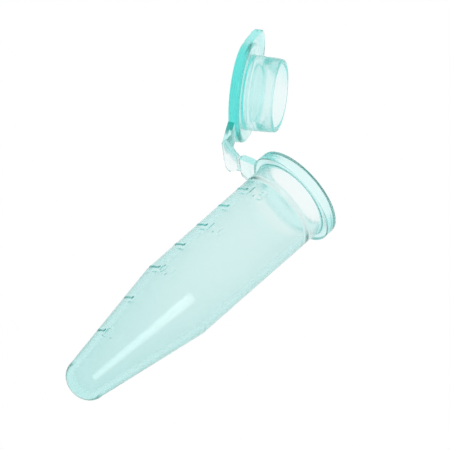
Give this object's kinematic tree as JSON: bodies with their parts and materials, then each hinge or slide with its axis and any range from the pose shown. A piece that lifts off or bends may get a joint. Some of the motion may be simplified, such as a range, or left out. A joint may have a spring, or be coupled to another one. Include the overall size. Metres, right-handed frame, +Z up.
{
  "type": "microcentrifuge tube",
  "caption": "Clear blue-green conical lab tube with a collar, a raised volume scale and a plug cap held open on a folding two-fold strap.",
  "frame": {"origin": "centre of the collar's underside, on the tube's axis", "axes": "+Z up the tube's axis towards the mouth, -X towards the cap's hinge, Y along the hinge folds"},
  "size_m": [0.0281, 0.0128, 0.0565],
  "materials": {
    "tube_plastic": "translucent gloss polypropylene",
    "cap_plastic": "translucent gloss polypropylene",
    "hinge_plastic": "translucent gloss polypropylene",
    "graduation_plastic": "translucent polypropylene, raised"
  },
  "bodies": {
    "tube": {"bar_0_1": "graduation_plastic", "bar_0_25": "graduation_plastic", "bar_0_5": "graduation_plastic", "bar_0_75": "graduation_plastic", "bar_1_0": "graduation_plastic", "bar_1_25": "graduation_plastic", "bar_1_5": "graduation_plastic", "barrel": "tube_plastic", "collar": "tube_plastic", "collar_hinge_tab": "hinge_plastic", "cone": "tube_plastic", "digit_0_1_one_2": "graduation_plastic", "digit_0_1_point_1": "graduation_plastic", "digit_0_1_zero_0": "graduation_plastic", "digit_0_5_five_2": "graduation_plastic", "digit_0_5_point_1": "graduation_plastic", "digit_0_5_zero_0": "graduation_plastic", "digit_1_0_one_0": "graduation_plastic", "digit_1_0_point_1": "graduation_plastic", "digit_1_0_zero_2": "graduation_plastic", "digit_1_5_five_2": "graduation_plastic", "digit_1_5_one_0": "graduation_plastic", "digit_1_5_point_1": "graduation_plastic", "neck": "tube_plastic", "seal_ledge": "tube_plastic"},
    "strap": {"strap": "hinge_plastic", "film_collar_side": "hinge_plastic"},
    "cap": {"cap_disc": "cap_plastic", "plug": "cap_plastic", "plug_bead": "cap_plastic", "thumb_tab": "cap_plastic", "cap_hinge_tab": "cap_plastic", "film_cap_side": "hinge_plastic"}
  },
  "joints": [
    {"name": "collar_fold", "type": "hinge", "parent": "tube", "child": "strap", "pos_m": [-0.0088, 0, 0.0003], "axis": [0, -1, 0], "range_deg": [-65.88, 20]},
    {"name": "cap_fold", "type": "hinge", "parent": "strap", "child": "cap", "pos_m": [-0.01174, 0, 0.0003], "axis": [0, -1, 0], "range_deg": [-54.62, 59.5]}
  ]
}
